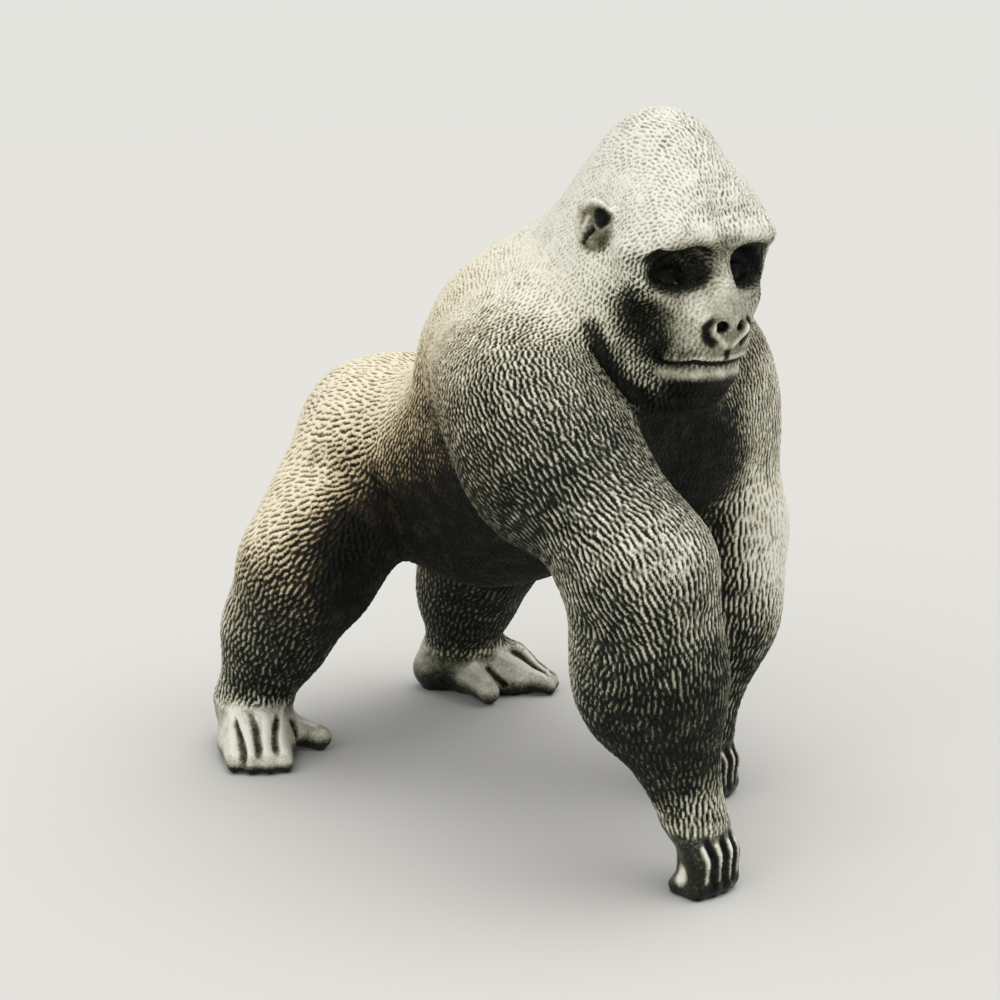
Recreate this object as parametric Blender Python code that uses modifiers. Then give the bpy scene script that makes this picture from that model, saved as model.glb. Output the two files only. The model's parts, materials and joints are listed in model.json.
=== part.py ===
"""A knuckle-walking gorilla figurine, cast in one piece.

It faces -Y, with its right side at -X, and stands on Z = 0. It is built up the way a clay master
is: rounded masses for bones and muscles are laid over each other, blended into one skin, the
hollows of the face are pressed in, and the soles and knuckles are cut flat where it stands.
"""

import math

import bmesh
import bpy
import numpy as np
from mathutils import Euler, Matrix, Vector

MM = 0.001
HEIGHT = 200 * MM  # of the finished figurine; the clay is scaled to it

# Stance
HEAD_PLACE = Vector((0, -46, 160)) * MM  # middle of the skull
HEAD_TURN = math.radians(-5)  # positive turns the face to the figurine's left
RIGHT_HAND = Vector((-26, -94, 0)) * MM  # where each hand's knuckles stand
LEFT_HAND = Vector((28, -44, 0)) * MM
RIGHT_HAND_TURN = math.radians(6)
LEFT_HAND_TURN = math.radians(10)
RIGHT_FOOT = Vector((-45, 84, 0)) * MM  # under each ankle
LEFT_FOOT = Vector((43, 88, 0)) * MM
RIGHT_FOOT_TURN = math.radians(-27)
LEFT_FOOT_TURN = math.radians(42)

# Trunk: each mass has its middle, then its half width, half depth and half height
CHEST = Vector((0, -14, 112)) * MM
CHEST_SIZE = Vector((41, 40, 42)) * MM
HUMP = Vector((0, -2, 129)) * MM
HUMP_SIZE = Vector((36, 32, 28)) * MM
BELLY = Vector((0, 22, 92)) * MM
BELLY_SIZE = Vector((37, 40, 36)) * MM
RUMP = Vector((0, 67, 93)) * MM
RUMP_SIZE = Vector((27, 28, 29)) * MM
NECK_RADIUS = 27 * MM

# Arms and legs
SHOULDER_SPREAD = 38 * MM
RIGHT_SHOULDER_Y, LEFT_SHOULDER_Y = -36 * MM, -24 * MM
SHOULDER_HEIGHT = 122 * MM
SHOULDER_RADIUS = 23 * MM
RIGHT_ELBOW = Vector((-40.5, -83, 86)) * MM
LEFT_ELBOW = Vector((45, -30, 76)) * MM
ELBOW_RADIUS = 17.5 * MM
FOREARM_RADIUS = 17.5 * MM
WRIST_RADIUS = 9 * MM
WRIST_HEIGHT = 20 * MM
HIP_SPREAD = 17.5 * MM
HIP_Y, HIP_HEIGHT = 60 * MM, 92 * MM
THIGH_RADIUS = 21.5 * MM
RIGHT_KNEE = Vector((-42, 57, 62)) * MM
LEFT_KNEE = Vector((36, 68, 56)) * MM
KNEE_RADIUS = 19 * MM
CALF_RADIUS = 15.5 * MM
ANKLE_RADIUS = 12 * MM
ANKLE_HEIGHT = 16 * MM

FOLD_RADIUS = 2.6 * MM  # of the creases pressed into the body

# Skin
FIRST_GRID = 1.8 * MM  # spacing of the first skin over the masses
FINE_GRID = 1.15 * MM  # spacing of the settled skin
SETTLE_ROOM = 4 * MM  # how far a point may move as it settles
SETTLE_ROUNDS = 3
SLIVER = 0.05 * MM  # points closer than this are merged after the cut
TRIANGLES = 11800
FINE_FORM_CARE = 6e-4  # how much longer edges are shunned on the face, ears, hands and feet
FACE_REACH = 30 * MM  # how far the face's fine triangles go from the middle of its front
EAR_REACH = 12 * MM
LIMB_END_HEIGHT = 15 * MM  # hands and feet have fine triangles below this

PATINA = (0.105, 0.11, 0.082)
PATINA_ROUGHNESS = 0.45
PATINA_METALLIC = 0.0


class Clay:
    """Masses and hollows, kept as shapes that blend, and the plain solids that stand for them."""

    def __init__(self):
        self.lumps = []
        self.rough = bmesh.new()
        self.place = Matrix.Identity(4)
        ball = bmesh.new()
        bmesh.ops.create_uvsphere(ball, u_segments=20, v_segments=12, radius=1)
        self.ball = bpy.data.meshes.new("ball")
        ball.to_mesh(self.ball)

    def lay(self, shape):
        """Puts a ball, stretched and placed by a matrix, among the plain solids."""
        ball = self.ball.copy()
        ball.transform(shape)
        self.rough.from_mesh(ball)
        bpy.data.meshes.remove(ball)

    def add(self, centre, size, blend, turn=(0, 0, 0), hollow=False):
        """An egg-shaped mass, or a hollow, with its half sizes."""
        spin = Euler([math.radians(a) for a in turn]).to_matrix().to_4x4()
        where = self.place @ Matrix.Translation(centre) @ spin
        self.lumps.append(("egg", where, Vector(size), blend, hollow))
        if not hollow:
            self.lay(where @ Matrix.Diagonal((*size, 1)))

    def limb(self, start, end, radius, end_radius, blend, hollow=False):
        """A tapering round mass, or a groove, between two points."""
        a, b = self.place @ Vector(start), self.place @ Vector(end)
        self.lumps.append(("limb", (a, b), (radius, end_radius), blend, hollow))
        if hollow:
            return
        steps = max(2, math.ceil((b - a).length / min(radius, end_radius)))
        for i in range(steps + 1):
            bead = radius + (end_radius - radius) * i / steps
            self.lay(Matrix.Translation(a.lerp(b, i / steps)) @ Matrix.Scale(bead, 4))

    def depth(self, points, near):
        """How far each point lies outside the blended skin; negative inside.

        near holds, for each lump, the points that it can reach.
        """
        skin = np.full(len(points), 1.0)
        for (kind, where, size, blend, hollow), who in zip(self.lumps, near):
            here, before = points[who], skin[who]
            if kind == "egg":
                to_local = np.array(where.inverted())
                local = here @ to_local[:3, :3].T + to_local[:3, 3]
                reach = np.linalg.norm(local / size, axis=1)
                slope = np.linalg.norm(local / np.square(size), axis=1) + 1e-9
                away = reach * (reach - 1) / slope
            else:
                a, b = np.array(where[0]), np.array(where[1])
                along = np.clip((here - a) @ (b - a) / ((b - a) @ (b - a)), 0, 1)
                axis = a + along[:, None] * (b - a)
                away = np.linalg.norm(here - axis, axis=1)
                away = away - (size[0] + along**2 * (3 - 2 * along) * (size[1] - size[0]))
            if hollow:
                share = np.clip(0.5 - 0.5 * (before + away) / blend, 0, 1)
                skin[who] = before + (-away - before) * share + blend * share * (1 - share)
            else:
                share = np.clip(0.5 + 0.5 * (before - away) / blend, 0, 1)
                skin[who] = before + (away - before) * share - blend * share * (1 - share)
        return skin

    def reached(self, points):
        """For each lump, the numbers of the points that its blend can touch."""
        near = []
        for kind, where, size, blend, _ in self.lumps:
            if kind == "egg":
                middle, radius = np.array(where.translation), max(size)
            else:
                a, b = np.array(where[0]), np.array(where[1])
                middle, radius = (a + b) / 2, np.linalg.norm(b - a) / 2 + max(size)
            reach = radius + 1.5 * blend + SETTLE_ROOM
            near.append(np.flatnonzero(((points - middle) ** 2).sum(axis=1) < reach**2))
        return near


def mirrored(side):
    """Turns a place round for the left of the figurine (side 1); the right is side -1."""
    return Matrix.Diagonal((-side, 1, 1, 1))


def mm(*values):
    return Vector(values) * MM


def trunk(clay):
    clay.add(CHEST, CHEST_SIZE, 10 * MM)
    clay.add(BELLY, BELLY_SIZE, 16 * MM)
    clay.add(HUMP, HUMP_SIZE, 14 * MM)
    clay.add(RUMP, RUMP_SIZE, 14 * MM)
    # the nape, then the throat
    clay.limb(mm(0, -36, 163), mm(0, -2, 131), NECK_RADIUS - 5 * MM, NECK_RADIUS + 3 * MM, 12 * MM)
    clay.limb(mm(0, -36, 146), mm(0, -34, 120), 22 * MM, 24 * MM, 10 * MM)
    for side in (-1, 1):
        # from the neck to the shoulder, the breast and the buttock
        clay.limb(mm(12 * side, -34, 152), mm(32 * side, -20, 130), 14 * MM, 18 * MM, 12 * MM)
        clay.add(mm(20 * side, -40, 106), mm(19, 14, 18), 8 * MM)
        clay.add(mm(11 * side, 76, 92), mm(14, 17, 24), 8 * MM)


def furrows(clay):
    """Shallow hollows along the spine, between the buttocks and down the breastbone."""
    spine = [mm(0, 2, 175), mm(0, 22, 163), mm(0, 38, 142), mm(0, 52, 129)]
    for start, end in zip(spine, spine[1:]):
        clay.limb(start, end, 6 * MM, 6 * MM, 9 * MM, hollow=True)
    clay.limb(mm(0, 92, 121), mm(0, 98, 84), 3 * MM, 4 * MM, 6 * MM, hollow=True)
    clay.limb(mm(0, -64, 112), mm(0, -50, 80), 4 * MM, 4 * MM, 8 * MM, hollow=True)


def folds(clay):
    """Creases where one muscle laps over the next: under the buttock and behind the hump."""
    under_buttock = [(-46, 68, 95), (-45.5, 52, 95), (-42, 42, 92), (-39, 33, 87), (-38, 24, 82)]
    behind_hump = [(-24, 24, 149), (-35, 18.5, 136), (-38.5, 14, 124), (-41.5, 6, 112)]
    for path in (under_buttock, behind_hump):
        for side in (-1, 1):
            points = [mm(-side * x, y, z) for x, y, z in path]
            for start, end in zip(points, points[1:]):
                clay.limb(start, end, FOLD_RADIUS, FOLD_RADIUS, 6 * MM, hollow=True)


def arm(clay, side, shoulder_y, elbow, hand):
    shoulder = Vector((SHOULDER_SPREAD * side, shoulder_y, SHOULDER_HEIGHT))
    wrist = hand + Vector((1 * MM * side, 4 * MM, WRIST_HEIGHT))
    forearm = elbow.lerp(wrist, 0.4) + mm(2 * side, 2, 0)
    clay.limb(shoulder, elbow, SHOULDER_RADIUS, ELBOW_RADIUS, 12 * MM)
    clay.add(shoulder.lerp(elbow, 0.3) + mm(5 * side, 3, 0), mm(18, 20, 24), 10 * MM)
    clay.limb(elbow, forearm, ELBOW_RADIUS, FOREARM_RADIUS, 11 * MM)
    clay.limb(forearm, wrist, FOREARM_RADIUS, WRIST_RADIUS, 11 * MM)
    # the muscle on the outside of the forearm, and the point of the elbow
    clay.add(forearm + mm(5 * side, 3, 3), mm(12, 12, 22), 8 * MM)
    clay.add(elbow + mm(2 * side, 9, -1), mm(8, 8, 9), 8 * MM)


def hand(clay, side, where, turn):
    """A hand on its knuckles: the palm faces back, the fingers fold under and carry the weight."""
    clay.place = Matrix.Translation(where) @ Matrix.Rotation(turn, 4, "Z") @ mirrored(side)
    wrist = mm(0, 4, 20)
    for x, reach in zip((-6.3, -2.2, 2.0, 6.0), (-0.8, 0.4, 0.6, -0.4)):
        knuckle = mm(x, -3.0 - reach, 11 + reach)
        bend = mm(x * 1.04, -3.0 - reach, 3.1)
        clay.limb(wrist + mm(x * 0.6, 0, 0), knuckle, 5.4 * MM, 3.4 * MM, 2 * MM)
        clay.limb(knuckle, bend, 3.1 * MM, 3.0 * MM, 1.2 * MM)
        clay.limb(bend, mm(x, 5, 2.6), 3.0 * MM, 2.7 * MM, 1.2 * MM)
    # the palm and the thumb
    clay.add(mm(0, 2.5, 9), mm(7.6, 5, 8), 2 * MM)
    clay.limb(mm(6.5, 7, 17), mm(8.6, 5.5, 7), 3.4 * MM, 2.8 * MM, 2 * MM)
    clay.place = Matrix.Identity(4)


def leg(clay, side, knee, ankle):
    hip = Vector((HIP_SPREAD * side, HIP_Y, HIP_HEIGHT))
    ankle = ankle + Vector((0, 0, ANKLE_HEIGHT))
    calf = knee.lerp(ankle, 0.45) + mm(0, 2, 0)
    clay.limb(hip, knee, THIGH_RADIUS, KNEE_RADIUS, 14 * MM)
    clay.limb(knee, calf, KNEE_RADIUS, CALF_RADIUS, 12 * MM)
    clay.limb(calf, ankle, CALF_RADIUS, ANKLE_RADIUS, 10 * MM)
    # the thick of the thigh, and the kneecap
    clay.add(hip.lerp(knee, 0.55) + mm(1 * side, 1, 0), mm(16, 20, 22), 8 * MM)
    clay.add(knee + mm(1 * side, -8, -1), mm(11, 9, 10), 8 * MM)


def foot(clay, side, where, turn):
    """A sole flat on the ground, four toes in a row and the big toe standing off inwards."""
    clay.place = Matrix.Translation(where) @ Matrix.Rotation(turn, 4, "Z") @ mirrored(side)
    # the heel, the instep and the ball
    clay.add(mm(0, 7, 7), mm(10, 10, 9), 5 * MM)
    clay.limb(mm(0, 0, 12), mm(-1, -16, 7.5), 11 * MM, 9.5 * MM, 5 * MM)
    clay.add(mm(-1, -13, 4.5), mm(12.5, 17, 7), 4 * MM)
    for x, reach in zip((-9.4, -4.6, 0.3, 5.2), (-28, -30.5, -31.5, -31)):
        clay.limb(mm(x * 0.9, -16, 8), mm(x, reach + 4, 4.4), 3.4 * MM, 3.3 * MM, 1.5 * MM)
        clay.limb(mm(x, reach + 4, 4.4), mm(x * 1.05, reach, 2.8), 3.3 * MM, 2.8 * MM, 1.2 * MM)
    clay.limb(mm(5, -2, 6.5), mm(14, -8.5, 5.2), 6.2 * MM, 4.6 * MM, 2.5 * MM)
    clay.limb(mm(14, -8.5, 5.2), mm(19, -12, 4.2), 4.6 * MM, 4.2 * MM, 1 * MM)
    clay.place = Matrix.Identity(4)


def head(clay):
    clay.place = Matrix.Translation(HEAD_PLACE) @ Matrix.Rotation(HEAD_TURN, 4, "Z")
    skull(clay)
    face(clay)
    for side in (-1, 1):
        eye_and_ear(clay, side)
    nose(clay)
    mouth(clay)
    clay.place = Matrix.Identity(4)


def skull(clay):
    # the brain case, the crest and the forehead
    clay.add(mm(0, 0, 0), mm(24, 24, 25), 8 * MM)
    clay.add(mm(0, -1, 18), mm(17, 20, 22), 10 * MM)
    clay.add(mm(0, -13.5, 11.5), mm(21, 13, 12.5), 8 * MM)
    for side in (-1, 1):
        # the chewing muscle and the jaw bone
        clay.add(mm(17 * side, 1, -14), mm(11, 15, 19), 7 * MM)
        clay.limb(mm(15 * side, -3, -27), mm(9 * side, -11, -32), 9 * MM, 7 * MM, 6 * MM)


def face(clay):
    # the muzzle, the upper lip, the lower lip and the chin
    clay.add(mm(0, -15, -14), mm(13.5, 14, 13), 5 * MM)
    clay.add(mm(0, -16.5, -21.5), mm(15.5, 13.5, 8), 5 * MM)
    clay.add(mm(0, -15.5, -30.5), mm(13, 11.8, 4.5), 3.5 * MM)
    clay.add(mm(0, -13, -35), mm(11, 10, 5.5), 4 * MM)
    for side in (-1, 1):
        # the cheek, the bone outside the eye and the half of the brow
        clay.add(mm(12.5 * side, -17.5, -13), mm(8, 8, 7), 4 * MM)
        clay.limb(mm(21 * side, -15, 3), mm(16 * side, -18, -9.5), 4 * MM, 5 * MM, 5 * MM)
        clay.limb(mm(3 * side, -25, 7), mm(14 * side, -24, 7.8), 4.6 * MM, 4.6 * MM, 3 * MM)
        clay.limb(mm(14 * side, -24, 7.8), mm(22 * side, -16, 4.5), 4.6 * MM, 3.8 * MM, 3 * MM)
        # the hollow between the chewing muscle and the muzzle
        top, low = mm(22.5 * side, -21, -10), mm(20.5 * side, -15.5, -25)
        middle = mm(19 * side, -20.5, -17)
        clay.limb(top, middle, 3 * MM, 4 * MM, 5 * MM, hollow=True)
        clay.limb(middle, low, 4 * MM, 3.6 * MM, 5 * MM, hollow=True)
    # the forehead's foot and the root of the nose, and the dip above it
    clay.add(mm(0, -15, 12), mm(20, 10.5, 8), 6 * MM)
    clay.add(mm(0, -20, 0), mm(4.6, 6.5, 8), 3 * MM)
    clay.limb(mm(0, -29.5, 13), mm(0, -27, 20), 2 * MM, 2 * MM, 6 * MM, hollow=True)


def eye_and_ear(clay, side):
    # the socket, the eyeball, the ear and its cup
    clay.add(mm(11.5 * side, -26.5, -1.6), mm(9.6, 10, 5.8), 1.4 * MM, turn=(0, 10 * side, 0), hollow=True)
    clay.add(mm(11 * side, -15, -3), mm(5, 4.4, 4.2), 1 * MM)
    clay.add(mm(25 * side, -4, 10), mm(2.4, 5.8, 6.6), 1 * MM, turn=(25, 0, -14 * side))
    clay.add(mm(28 * side, -5.4, 10.8), mm(2.8, 3.9, 4.4), 0.8 * MM, hollow=True)


def nose(clay):
    # the bridge and the tip, then on each side the wing and the nostril
    clay.limb(mm(0, -23, 1), mm(0, -28, -9.5), 3 * MM, 4 * MM, 4 * MM)
    clay.add(mm(0, -27.5, -15), mm(7, 5.2, 4.8), 3 * MM)
    for side in (-1, 1):
        clay.add(mm(5.6 * side, -27, -16.4), mm(4.2, 4.4, 4.2), 1.6 * MM)
        clay.add(mm(3.7 * side, -32.6, -16), mm(2.4, 3.4, 2), 0.9 * MM, hollow=True)


def mouth(clay):
    """The line between the lips, as a groove."""
    centre = mm(0, -30.4, -27)
    for side in (-1, 1):
        bend, corner = mm(9 * side, -27.4, -26.6), mm(15.5 * side, -19.5, -26)
        clay.limb(centre, bend, 0.9 * MM, 0.9 * MM, 0.7 * MM, hollow=True)
        clay.limb(bend, corner, 0.9 * MM, 0.8 * MM, 0.7 * MM, hollow=True)


def settle(points, clay):
    """Moves points along the slope of the clay until they lie on its blended skin."""
    step = 0.05 * MM
    near = clay.reached(points)
    for _ in range(SETTLE_ROUNDS):
        away = clay.depth(points, near)
        slope = np.empty_like(points)
        for axis in range(3):
            aside = points.copy()
            aside[:, axis] += step
            slope[:, axis] = (clay.depth(aside, near) - away) / step
        steep = np.maximum((slope**2).sum(axis=1), 0.25)
        move = -away / steep
        points = points + np.clip(move, -2 * MM, 2 * MM)[:, None] * slope
    return points


def coordinates(mesh):
    """The places of a mesh's vertices, one row each."""
    flat = np.empty(len(mesh.vertices) * 3)
    mesh.vertices.foreach_get("co", flat)
    return flat.reshape(-1, 3)


def remeshed(source, spacing, name):
    """The mesh's own outer skin, on an even grid."""
    obj = bpy.data.objects.new(name, source)
    bpy.context.scene.collection.objects.link(obj)
    remesh = obj.modifiers.new("skin", "REMESH")
    remesh.mode = "VOXEL"
    remesh.voxel_size = spacing
    bpy.context.view_layer.update()
    skin = bpy.data.meshes.new_from_object(obj.evaluated_get(bpy.context.evaluated_depsgraph_get()))
    bpy.data.objects.remove(obj)
    return skin


def sculpted(clay):
    rough = bpy.data.meshes.new("rough")
    clay.rough.to_mesh(rough)
    skin = remeshed(rough, FIRST_GRID, "rough")
    skin.vertices.foreach_set("co", settle(coordinates(skin), clay).ravel())
    skin = remeshed(skin, FINE_GRID, "fine")
    skin.vertices.foreach_set("co", settle(coordinates(skin), clay).ravel())
    return skin


def build_clay():
    clay = Clay()
    trunk(clay)
    arm(clay, -1, RIGHT_SHOULDER_Y, RIGHT_ELBOW, RIGHT_HAND)
    arm(clay, 1, LEFT_SHOULDER_Y, LEFT_ELBOW, LEFT_HAND)
    leg(clay, -1, RIGHT_KNEE, RIGHT_FOOT)
    leg(clay, 1, LEFT_KNEE, LEFT_FOOT)
    hand(clay, -1, RIGHT_HAND, RIGHT_HAND_TURN)
    hand(clay, 1, LEFT_HAND, LEFT_HAND_TURN)
    foot(clay, -1, RIGHT_FOOT, RIGHT_FOOT_TURN)
    foot(clay, 1, LEFT_FOOT, LEFT_FOOT_TURN)
    head(clay)
    furrows(clay)
    folds(clay)
    return clay


def fineness(points):
    """For each point, 1 among small forms and 0 on the plain body."""
    front = np.array(HEAD_PLACE + mm(0, -22, -10))
    fine = np.clip(2 - 2 * np.linalg.norm(points - front, axis=1) / FACE_REACH, 0, 1)
    for side in (-1, 1):
        ear = np.array(HEAD_PLACE + mm(25 * side, -4, 10))
        near_ear = np.clip(2 - 2 * np.linalg.norm(points - ear, axis=1) / EAR_REACH, 0, 1)
        fine = np.maximum(fine, near_ear)
    return np.maximum(fine, np.clip(2 - 2 * points[:, 2] / LIMB_END_HEIGHT, 0, 1))


def lightened(skin):
    """The skin with few enough triangles, most of them where the small forms are."""
    figure = bpy.data.objects.new("skin", skin)
    bpy.context.scene.collection.objects.link(figure)
    group = figure.vertex_groups.new(name="plain")
    for number, fine in enumerate(fineness(coordinates(skin))):
        group.add([number], 1 - 0.9 * fine, "REPLACE")
    fewer = figure.modifiers.new("fewer", "DECIMATE")
    fewer.ratio = TRIANGLES / (2 * len(skin.polygons))
    fewer.vertex_group = group.name
    fewer.vertex_group_factor = FINE_FORM_CARE
    fewer.use_collapse_triangulate = True
    bpy.context.view_layer.update()
    view = figure.evaluated_get(bpy.context.evaluated_depsgraph_get())
    light = bpy.data.meshes.new_from_object(view)
    bpy.data.objects.remove(figure)
    return light


def stood(skin):
    """The skin cut flat on the ground, with the ground below the middle of its box."""
    form = bmesh.new()
    form.from_mesh(skin)
    everything = form.verts[:] + form.edges[:] + form.faces[:]
    ground = mm(0, 0, 0)
    bmesh.ops.bisect_plane(form, geom=everything, plane_co=ground, plane_no=(0, 0, 1),
                           clear_inner=True)
    rims = [edge for edge in form.edges if edge.is_boundary]
    bmesh.ops.holes_fill(form, edges=rims)
    bmesh.ops.triangulate(form, faces=form.faces[:])
    bmesh.ops.remove_doubles(form, verts=form.verts[:], dist=SLIVER)
    bmesh.ops.recalc_face_normals(form, faces=form.faces[:])
    xs = [vertex.co.x for vertex in form.verts]
    ys = [vertex.co.y for vertex in form.verts]
    middle = Vector(((min(xs) + max(xs)) / 2, (min(ys) + max(ys)) / 2, 0))
    bmesh.ops.translate(form, verts=form.verts[:], vec=-middle)
    share = HEIGHT / max(vertex.co.z for vertex in form.verts)
    bmesh.ops.scale(form, verts=form.verts[:], vec=(share, share, share))
    cut = bpy.data.meshes.new("gorilla")
    form.to_mesh(cut)
    return cut


def patina():
    material = bpy.data.materials.new("resin_with_bronze_patina")
    material.use_nodes = True
    shader = material.node_tree.nodes["Principled BSDF"]
    shader.inputs["Base Color"].default_value = (*PATINA, 1)
    shader.inputs["Roughness"].default_value = PATINA_ROUGHNESS
    shader.inputs["Metallic"].default_value = PATINA_METALLIC
    return material


def main():
    for obj in list(bpy.data.objects):
        bpy.data.objects.remove(obj)
    collection = bpy.data.collections.new("gorilla_figurine")
    bpy.context.scene.collection.children.link(collection)
    skin = stood(lightened(sculpted(build_clay())))
    skin.shade_smooth()
    skin.materials.append(patina())
    figure = bpy.data.objects.new("gorilla", skin)
    collection.objects.link(figure)
    return figure


if __name__ == "__main__":
    main()
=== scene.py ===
"""Looks of the gorilla figurine: a resin casting with carved fur and a brushed bronze-look patina, into which
light from above and shade are painted.
"""

import json
import math

import bmesh
import bpy
import numpy as np
from mathutils import Matrix, Vector, kdtree
from mathutils.bvhtree import BVHTree

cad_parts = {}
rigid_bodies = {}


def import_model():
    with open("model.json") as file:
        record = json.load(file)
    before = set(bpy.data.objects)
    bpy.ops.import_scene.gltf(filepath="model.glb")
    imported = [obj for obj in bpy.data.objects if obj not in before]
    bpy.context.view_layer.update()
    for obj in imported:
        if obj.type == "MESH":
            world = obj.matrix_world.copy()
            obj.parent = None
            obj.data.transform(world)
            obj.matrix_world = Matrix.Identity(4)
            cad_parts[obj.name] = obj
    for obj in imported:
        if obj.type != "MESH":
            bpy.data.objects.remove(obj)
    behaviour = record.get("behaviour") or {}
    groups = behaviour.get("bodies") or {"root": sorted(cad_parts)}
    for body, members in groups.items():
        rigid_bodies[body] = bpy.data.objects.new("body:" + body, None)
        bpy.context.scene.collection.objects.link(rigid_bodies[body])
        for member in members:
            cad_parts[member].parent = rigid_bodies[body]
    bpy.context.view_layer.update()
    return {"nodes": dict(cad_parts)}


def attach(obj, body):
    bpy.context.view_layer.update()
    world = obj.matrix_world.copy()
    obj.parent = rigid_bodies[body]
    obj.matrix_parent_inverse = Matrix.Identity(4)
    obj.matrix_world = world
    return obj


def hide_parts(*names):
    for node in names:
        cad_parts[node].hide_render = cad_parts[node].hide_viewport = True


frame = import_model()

# Lengths are in millimetres unless a name or comment says otherwise.
TO_METRES = 0.001
GRID = 0.56  # spacing of the carved skin
SEED = 7
STROKE_DEPTH = 0.55
STROKE_CELL = 1.8  # one small wave pattern of the fur in each cell of this size
STROKE_BLEND = 1.6  # how far a pattern reaches into its neighbours
NEAREST = 9  # patterns that count at each point
WRIST_FUR_ENDS = 18.5  # height over the floor
ANKLE_FUR_ENDS = 15.5
BARE_DEPTH = 0.3  # how far bare hands and feet lie under the fur
SKY_RAYS = 44
SKY_REACH = 70.0
BRUSH_MARK = 5.88  # size of the paint's unevenness
PAINT_GRAIN = 0.714

# Where the casting's parts stand, as in the CAD part
ORIGIN = Vector((-1.25, 0.45, 0))
HEAD = Vector((0, -46, 160))
HEAD_TURN = math.radians(-5)
HANDS = {-1: (Vector((-26, -94, 0)), math.radians(6)), 1: (Vector((28, -44, 0)), math.radians(10))}
FEET = {-1: (Vector((-45, 84, 0)), math.radians(-27)), 1: (Vector((43, 88, 0)), math.radians(42))}

# The camera, as a fit to the photograph gave it
CAMERA = Vector((-419.95, -466.25, 218.3))
CAMERA_AIM = Vector((-33.05, -18.45, 92.8))
CAMERA_LENS = 79.2
CAMERA_SENSOR = 36

# The comb: a place, the way the fur lies there, the spacing of its strokes and their slant in
# degrees, which makes them short (a big slant) or long.
COMB_REACH = 13.0
COMB = [
    # middle of the crown and the throat
    ((0, -66, 178), (0, 0.75, 0.65), 1.25, 20),
    ((0, -50, 190), (0, 1, 0.1), 1.3, 20),
    ((0, -30, 186), (0, 1, -0.4), 1.3, 20),
    ((0, -70, 125), (0, 0.3, -1), 1.4, 14),
    # nape, hump, saddle and rump
    ((0, -15, 168), (0, 1, -0.5), 1.5, 18),
    ((0, 5, 160), (0, 1, -0.4), 1.5, 18),
    ((0, 35, 138), (0, 1, -0.3), 1.8, 14),
    ((0, 65, 124), (0, 1, -0.3), 2.1, 10),
    ((0, 92, 105), (0, 0.4, -1), 2.1, 10),
    # belly and breast
    ((0, 15, 55), (0, 1, 0), 1.8, 14),
    ((0, -50, 85), (0, 0.6, -0.8), 1.6, 14),
    # right arm
    ((-50, -48, 112), (0, -0.7, -0.7), 1.5, 12),
    ((-45, -75, 98), (0.2, -0.8, -0.6), 1.6, 9),
    ((-50, -90, 80), (0.1, -0.6, -0.8), 1.6, 9),
    ((-52, -76, 66), (0, 0.55, -0.8), 1.5, 13),
    ((-42, -80, 50), (0.15, 0.3, -0.95), 1.6, 12),
    ((-35, -98, 45), (0.2, 0, -1), 1.6, 9),
    ((-27, -92, 25), (0.1, 0, -1), 1.5, 10),
    # left arm
    ((50, -40, 112), (0, -0.15, -1), 1.6, 12),
    ((52, -42, 85), (0, 0, -1), 1.7, 9),
    ((45, -45, 60), (-0.15, 0, -1), 1.7, 9),
    ((32, -46, 30), (-0.3, 0, -1), 1.5, 10),
    # legs
    ((-36, 68, 85), (0, 0.8, -0.6), 2.0, 13),
    ((-48, 55, 68), (0, 0.75, -0.65), 1.9, 14),
    ((-46, 75, 50), (0, 0.6, -0.8), 1.9, 12),
    ((-46, 80, 30), (0, 0.45, -0.9), 1.8, 14),
    ((36, 70, 85), (0, 0.8, -0.6), 2.1, 9),
    ((46, 62, 65), (0, 0.75, -0.65), 2.0, 9),
    ((42, 78, 45), (0, 0.6, -0.8), 1.9, 12),
    ((43, 85, 28), (0, 0.45, -0.9), 1.8, 14),
]
# The right side of the head and body, which the left side mirrors
COMB_SIDE = [
    # temple and cheek
    ((-22, -48, 172), (-0.3, 0.6, -0.7), 1.2, 20),
    ((-22, -56, 148), (-0.2, 0.45, -0.8), 1.2, 18),
    # side of the hump, shoulder and flank
    ((-25, -5, 150), (-0.5, -0.4, -0.75), 1.4, 24),
    ((-48, -22, 130), (-0.1, 0.1, -1), 1.4, 24),
    ((-44, 5, 110), (0, 0.15, -1), 1.45, 22),
    ((-38, 25, 95), (0, 0.3, -1), 1.6, 18),
    ((-36, 15, 70), (0.2, 0.25, -1), 1.7, 14),
    # side of the rump
    ((-28, 62, 108), (0, 1, -0.12), 2.0, 14),
    ((-30, 45, 100), (0, 0.9, -0.5), 1.9, 15),
]

# Where the pale paint goes further, or less far, than the light from above gives it: partly the dry brush's
# own unevenness, partly painted light (pale head, muzzle and rump) and painted shade (dark throat, chin,
# flanks and fronts of the thighs). A place, how far it reaches each way and how much more.
PATCHES = [
    ((0, -62, 160), (50, 58, 50), 0.3),  # head
    ((0, -80, 142), (24, 22, 22), 0.3),  # muzzle
    ((0, -70, 123), (22, 20, 9), -0.4),  # chin
    ((0, 0, 156), (44, 50, 30), 0.12),  # hump
    ((-46, -68, 102), (22, 26, 22), -0.2),  # upper arms
    ((50, -46, 104), (22, 26, 22), -0.2),
    ((0, -66, 100), (36, 34, 34), -0.5),  # throat and breast
    ((-30, -44, 126), (14, 20, 16), -0.5),  # between the jaw and the shoulder
    ((0, 66, 114), (60, 50, 40), 0.2),  # rump
    ((-46, -94, 54), (24, 28, 34), -0.12),  # front of the right forearm
    ((-42, -102, 84), (24, 20, 22), 0.25),  # right elbow
    ((52, -52, 92), (30, 32, 56), 0.7),  # left arm
    ((-27, -96, 22), (16, 18, 14), 0.3),  # wrist
    ((-45, 64, 8), (24, 34, 14), 0.3),  # insteps
    ((43, 68, 8), (24, 34, 14), 0.3),
]
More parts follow.
